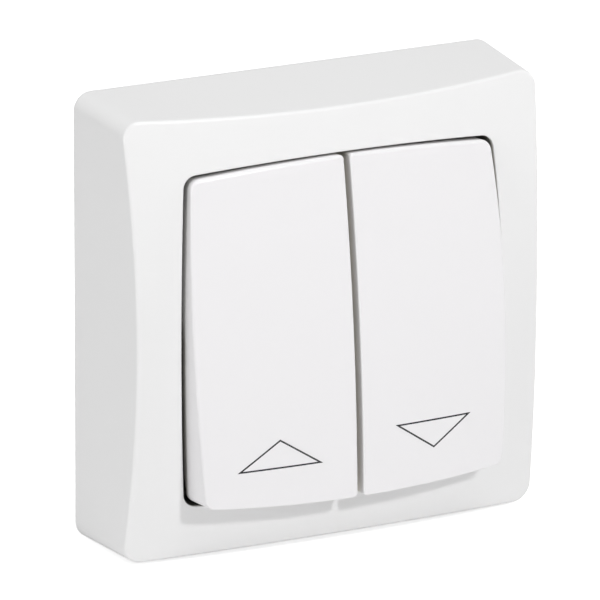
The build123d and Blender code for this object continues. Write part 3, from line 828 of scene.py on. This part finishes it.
def surfaced(name, colour, group, values, relief, **own):
    """A material whose colour, roughness and fine relief come from a surface group."""
    material = bpy.data.materials.new(name)
    material.use_nodes = True
    material.diffuse_color = (*colour, 1.0)
    tree = material.node_tree
    shader = tree.nodes["Principled BSDF"]
    for title, value in own.items():
        shader.inputs[title].default_value = value
    surface = add_node(
        tree, "ShaderNodeGroup", {"Colour": (*colour, 1.0), **values}, node_tree=group).outputs
    bump = add_node(tree, "ShaderNodeBump", {
        "Strength": 1.0, "Distance": relief, "Height": surface["Height"]})
    fill(tree, shader.inputs["Base Color"], surface["Colour"])
    fill(tree, shader.inputs["Roughness"], surface["Roughness"])
    fill(tree, shader.inputs["Normal"], bump.outputs["Normal"])
    return material


def plastic(name, colour, gloss, grain=0.25, wave=0.6, colour_drift=0.012, relief=PLASTIC_RELIEF):
    """A moulded plastic: colour is linear, gloss is the middle of its roughness."""
    values = {"Colour Drift": colour_drift, "Gloss": gloss, "Gloss Drift": GLOSS_DRIFT,
              "Grain": grain, "Wave": wave}
    return surfaced(name, colour, moulded, values, relief, IOR=PLASTIC_IOR)


# %% [markdown]
# The gap round the keys is a dark line, and the walls of the middle gap look slightly warm, because
# the light that reaches them has already bounced off other plastic. In this pale studio too much
# light gets in there, so the walls that were marked as deep get painted shade and keep only part of
# their colour, and a painted warm tint stands in for the bounced light.

# %% Paint shade and warm bounce light on the walls in the gaps
# Share of the colour that painted shade leaves on deep walls, and the painted warm bounce tint
PAINTED_SHADE_KEEPS = 0.30
PAINTED_BOUNCE_TINT = (1.0, 0.985, 0.90, 1.0)


def paint_gap_shade_and_warmth(material):
    """Painted shade: deep walls keep a share of the colour. Painted warmth tints the gap walls."""
    tree = material.node_tree
    base = tree.nodes["Principled BSDF"].inputs["Base Color"]
    painted_shade, painted_warmth = (add_node(tree, "ShaderNodeAttribute", attribute_name=name).outputs["Fac"]
                  for name in ("painted_gap_shade", "painted_gap_warmth"))
    lost = maths(tree, "MULTIPLY", painted_shade, 1.0 - PAINTED_SHADE_KEEPS)
    dimmed = scale_vector(tree, base.links[0].from_socket, maths(tree, "SUBTRACT", 1.0, lost))
    tinted = add_node(tree, "ShaderNodeMix", {"Factor": painted_warmth, "A": dimmed, "B": PAINTED_BOUNCE_TINT},
                      data_type="RGBA", blend_type="MULTIPLY")
    fill(tree, base, tinted.outputs["Result"])
    return material


# Both polished whites carry the painted gap shade and the painted warm tint
white_cover = paint_gap_shade_and_warmth(plastic("white_cover", (0.861, 0.860, 0.860), gloss=0.33))
white_keys = paint_gap_shade_and_warmth(plastic("white_keys", (0.848, 0.838, 0.849), gloss=0.30))
print("shaded in the gaps:", white_cover.name, white_keys.name)

# %% The plastics behind the cover
white_base = plastic("white_base", (0.80, 0.80, 0.785), gloss=0.48, grain=0.7)
black_block = plastic(
    "black_block", (0.030, 0.030, 0.032), gloss=0.50, grain=1.0, colour_drift=0.10)
black_carrier = plastic(
    "black_carrier", (0.040, 0.040, 0.043), gloss=0.42, grain=0.8, colour_drift=0.10)
natural_nylon = plastic("natural_nylon", (0.74, 0.71, 0.64), gloss=0.40, grain=0.5)
print("hidden plastics:", [m.name for m in (white_base, black_block, black_carrier, natural_nylon)])

# %% [markdown]
# ## Metal
# Stamped strips and screws show which way they were drawn or turned: long fine streaks along one
# direction, with duller patches where fingers and tools touched them. A second group stretches a
# noise along one axis for the streaks and adds soft tarnish. Plated steel, brass and silver differ
# only in colour and in how strong the two are.

# %% A shader group for drawn and plated metal
STREAK_SCALE = 9000.0
STREAK_STRETCH = (1.0, 0.06, 0.06)
STREAK_ROUGHNESS = 0.6
STREAK_IN_GLOSS = 0.2
PATCH_SCALE = 420.0
PATCH_ROUGHNESS = 0.55
PATCH_FROM, PATCH_TO = 0.42, 0.68
TARNISH_IN_GLOSS = 0.35


def metal_group():
    """Streaks along one axis, and soft patches of tarnish."""
    tree, given, place = new_surface_group("drawn_metal", {
        "Colour": (0.6, 0.6, 0.6, 1.0), "Tarnish Colour": (0.3, 0.3, 0.3, 1.0), "Tarnish": 0.3,
        "Gloss": 0.3, "Streak": 0.5})
    stretched = add_node(tree, "ShaderNodeMapping", {"Vector": place, "Scale": STREAK_STRETCH})
    streak = noise(tree, stretched.outputs[0], STREAK_SCALE, 2.0, STREAK_ROUGHNESS)
    patch = noise(tree, place, PATCH_SCALE, 3.0, PATCH_ROUGHNESS)
    spread = add_node(tree, "ShaderNodeMapRange", {
        "Value": patch, "From Min": PATCH_FROM, "From Max": PATCH_TO})
    share = maths(tree, "MULTIPLY", spread.outputs[0], given["Tarnish"])
    blend = add_node(tree, "ShaderNodeMix", {
        "Factor": share, "A": given["Colour"], "B": given["Tarnish Colour"]}, data_type="RGBA")
    lines = maths(tree, "MULTIPLY", maths(tree, "SUBTRACT", streak, 0.5), STREAK_IN_GLOSS)
    uneven = maths(tree, "ADD", maths(tree, "MULTIPLY", share, TARNISH_IN_GLOSS), lines)
    add_node(tree, "NodeGroupOutput", {
        "Colour": blend.outputs["Result"],
        "Roughness": maths(tree, "ADD", given["Gloss"], uneven),
        "Height": maths(tree, "MULTIPLY", streak, given["Streak"]),
    })
    return tree


drawn = metal_group()
print("drawn metal nodes:", len(drawn.nodes))

# %% The five metals
METAL_RELIEF = 0.000003
METAL_STREAK = 0.5


def metal(name, colour, tarnish_colour, tarnish, gloss):
    """A drawn or plated metal: both colours are linear."""
    values = {"Tarnish Colour": (*tarnish_colour, 1.0), "Tarnish": tarnish, "Gloss": gloss,
              "Streak": METAL_STREAK}
    return surfaced(name, colour, drawn, values, METAL_RELIEF, Metallic=1.0)


stamped_brass = metal("stamped_brass", (0.76, 0.56, 0.27), (0.42, 0.27, 0.12), 0.45, 0.28)
contact_silver = metal("contact_silver", (0.86, 0.85, 0.82), (0.45, 0.42, 0.37), 0.35, 0.22)
cage_steel = metal("cage_steel", (0.66, 0.62, 0.52), (0.40, 0.36, 0.26), 0.40, 0.32)
plated_steel = metal("plated_steel", (0.66, 0.67, 0.69), (0.38, 0.38, 0.39), 0.30, 0.28)
spring_wire = metal("spring_wire", (0.62, 0.62, 0.61), (0.30, 0.29, 0.28), 0.25, 0.24)
metals = (stamped_brass, contact_silver, cage_steel, plated_steel, spring_wire)
print("metals:", [m.name for m in metals])

# %% [markdown]
# ## Ink
# The print is a dark grey ink. It lies on the polished key, so it is a little duller than the key,
# and its coverage varies slightly as the printing pad presses unevenly.

# %% Ink and the two printed marks
grey_ink = plastic("grey_ink", (0.015, 0.015, 0.018), gloss=0.45, grain=1.0, wave=0.2,
                   colour_drift=0.35, relief=0.000002)
print_mark("up_mark", UP_MARK_X, UP_BASE_Z, UP_MARK_WIDTH, True,
           up_key, "up_rocker", grey_ink)
print_mark("down_mark", DOWN_MARK_X, DOWN_BASE_Z, DOWN_MARK_WIDTH, False,
           down_key, "down_rocker", grey_ink)

# %% [markdown]
# ## Finishes
# The pieces behind the cover keep the solids of the working model. Each gets the finish of what it
# is made of: white for the base, black for the insulating parts, brass for the strips, silver for
# the contacts. The cover and the keys get the two polished whites.

# %% Give every piece its finish
def finish_with(piece, material):
    """Puts one material on a whole piece."""
    if not piece.material_slots:
        piece.data.materials.append(material)
    for slot in piece.material_slots:
        slot.material = material


FINISHES = {
    "wall_base": white_base,
    "mechanism_body": black_block,
    "bridge": black_block,
    "up_carrier": black_carrier,
    "down_carrier": black_carrier,
    "up_plunger": natural_nylon,
    "down_plunger": natural_nylon,
    "up_spring": spring_wire,
    "down_spring": spring_wire,
    "up_contact": stamped_brass,
    "down_contact": stamped_brass,
    "up_contact_tip": contact_silver,
    "down_contact_tip": contact_silver,
    "fixed_contacts": contact_silver,
    "up_terminal": stamped_brass,
    "down_terminal": stamped_brass,
    "common_terminal": stamped_brass,
    "cage_clamps": cage_steel,
    "terminal_screws": cage_steel,
    "mounting_screws": plated_steel,
    "interlock_bar": natural_nylon,
}
for node, material in FINISHES.items():
    finish_with(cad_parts[node], material)
finish_with(cover, white_cover)
finish_with(up_key, white_keys)
finish_with(down_key, white_keys)
print("finished nodes:", len(FINISHES))

# %% [markdown]
# ## Floor and tent
# The product stands on a pale floor in a bright tent, where soft light comes from everywhere. The
# camera sees the tent as pure white and the floor lifted to white, and the floor keeps the
# object's shadow. Glossy surfaces see both a little dimmer, so that white sides and edges keep
# their form instead of burning out.

# %% What the camera and reflections see
def white_to_camera(tree, in_reflections):
    """Value that is 1 for rays from the camera, and smaller for those from a glossy surface."""
    path = add_node(tree, "ShaderNodeLightPath").outputs
    direct = maths(tree, "MAXIMUM", path["Is Camera Ray"], path["Is Transmission Ray"])
    mirrored = maths(tree, "MULTIPLY", path["Is Glossy Ray"], in_reflections)
    return maths(tree, "MAXIMUM", direct, mirrored)


# %% Floor
FLOOR_Z = -FRAME_HALF / MM_PER_METRE
FLOOR_HALF = 3.0
FLOOR_GREY = 0.82
FLOOR_LIFT = 0.70
FLOOR_IN_REFLECTIONS = 0.3

floor_mesh = bpy.data.meshes.new("floor")
floor_mesh.from_pydata(
    [(x * FLOOR_HALF, y * FLOOR_HALF, FLOOR_Z) for x, y in ((-1, -1), (1, -1), (1, 1), (-1, 1))],
    [], [(0, 1, 2, 3)])
floor = link_object("floor", floor_mesh)

pale = bpy.data.materials.new("pale_floor")
pale.use_nodes = True
tree = pale.node_tree
tree.nodes.clear()
matt = add_node(tree, "ShaderNodeBsdfDiffuse", {"Color": (FLOOR_GREY, FLOOR_GREY, FLOOR_GREY, 1.0)})
lift = maths(tree, "MULTIPLY", white_to_camera(tree, FLOOR_IN_REFLECTIONS), FLOOR_LIFT)
glow = add_node(tree, "ShaderNodeEmission", {"Strength": lift})
both = add_node(tree, "ShaderNodeAddShader", {0: matt.outputs[0], 1: glow.outputs[0]})
add_node(tree, "ShaderNodeOutputMaterial", {"Surface": both.outputs[0]})
finish_with(floor, pale)
print("floor at", FLOOR_Z, "m")

# %% Tent
TENT_LIGHT = 0.385
TENT_IN_REFLECTIONS = 0.85

world = bpy.data.worlds.new("tent")
bpy.context.scene.world = world
world.use_nodes = True
tree = world.node_tree
tree.nodes.clear()
brightness = maths(tree, "MAXIMUM", white_to_camera(tree, TENT_IN_REFLECTIONS), TENT_LIGHT)
sky = add_node(
    tree, "ShaderNodeBackground", {"Color": (1.0, 1.0, 1.0, 1.0), "Strength": brightness})
add_node(tree, "ShaderNodeOutputWorld", {"Surface": sky.outputs[0]})
print("tent light", TENT_LIGHT)

# %% [markdown]
# ## Lamps
# Four soft lamps give the white form its shades. A small one high in front throws the short shadow
# under the keys, one on the left keeps the side wall a little darker than the front, one on the
# right lights the walls that face away, and one above lights the top.

# %% Lamps
AIM = Vector((0.0, -0.0125, 0.0))


def lamp(name, place, size, energy):
    """A square soft lamp at a place in metres, aimed at the middle of the object."""
    data = bpy.data.lights.new(name, "AREA")
    data.shape = "SQUARE"
    data.size = size
    data.energy = energy
    light = link_object(name, data)
    light.location = place
    light.rotation_euler = (AIM - Vector(place)).to_track_quat("-Z", "Y").to_euler()
    print(name, size, "m,", energy, "W")
    return light


lamp("key_lamp", (0.21, -1.18, 0.72), 0.10, 6.0)
lamp("left_lamp", (-1.25, -0.40, 0.20), 0.30, 4.1)
lamp("right_lamp", (1.25, -0.40, 0.20), 0.35, 2.4)
lamp("top_lamp", (0.0, -0.20, 1.25), 0.40, 4.5)

# %% [markdown]
# ## Camera
# The photograph was taken from far away with a long lens, from the left and a little above. The
# place, turn and lens below come from matching the frame's corners and the keys' edges, seen in
# the photograph, to their real sizes. The place is in metres, the angles are in radians and the
# lens is in millimetres.

# %% Camera
CAMERA_PLACE = (-0.542906, -1.087505, 0.386803)
CAMERA_AZIMUTH = -0.46519
CAMERA_ELEVATION = 0.309758
CAMERA_ROLL = 0.004554
CAMERA_LENS = 472.40
SENSOR_WIDTH = 36.0
CLIP_START = 0.05

camera_data = bpy.data.cameras.new("camera")
camera_data.sensor_width = SENSOR_WIDTH
camera_data.lens = CAMERA_LENS
camera_data.clip_start = CLIP_START
camera = link_object("camera", camera_data)
back = Vector((
    math.sin(CAMERA_AZIMUTH) * math.cos(CAMERA_ELEVATION),
    -math.cos(CAMERA_AZIMUTH) * math.cos(CAMERA_ELEVATION),
    math.sin(CAMERA_ELEVATION),
))
level = (-back).cross(Vector((0, 0, 1))).normalized()
upright = level.cross(-back)
right = level * math.cos(CAMERA_ROLL) + upright * math.sin(CAMERA_ROLL)
up = upright * math.cos(CAMERA_ROLL) - level * math.sin(CAMERA_ROLL)
camera.matrix_world = Matrix((
    (right.x, up.x, back.x, CAMERA_PLACE[0]),
    (right.y, up.y, back.y, CAMERA_PLACE[1]),
    (right.z, up.z, back.z, CAMERA_PLACE[2]),
    (0, 0, 0, 1),
))
bpy.context.scene.camera = camera
bpy.context.scene.view_settings.view_transform = "Standard"
print("camera", round(math.dist(CAMERA_PLACE, (0, 0, 0)), 3), "m away")
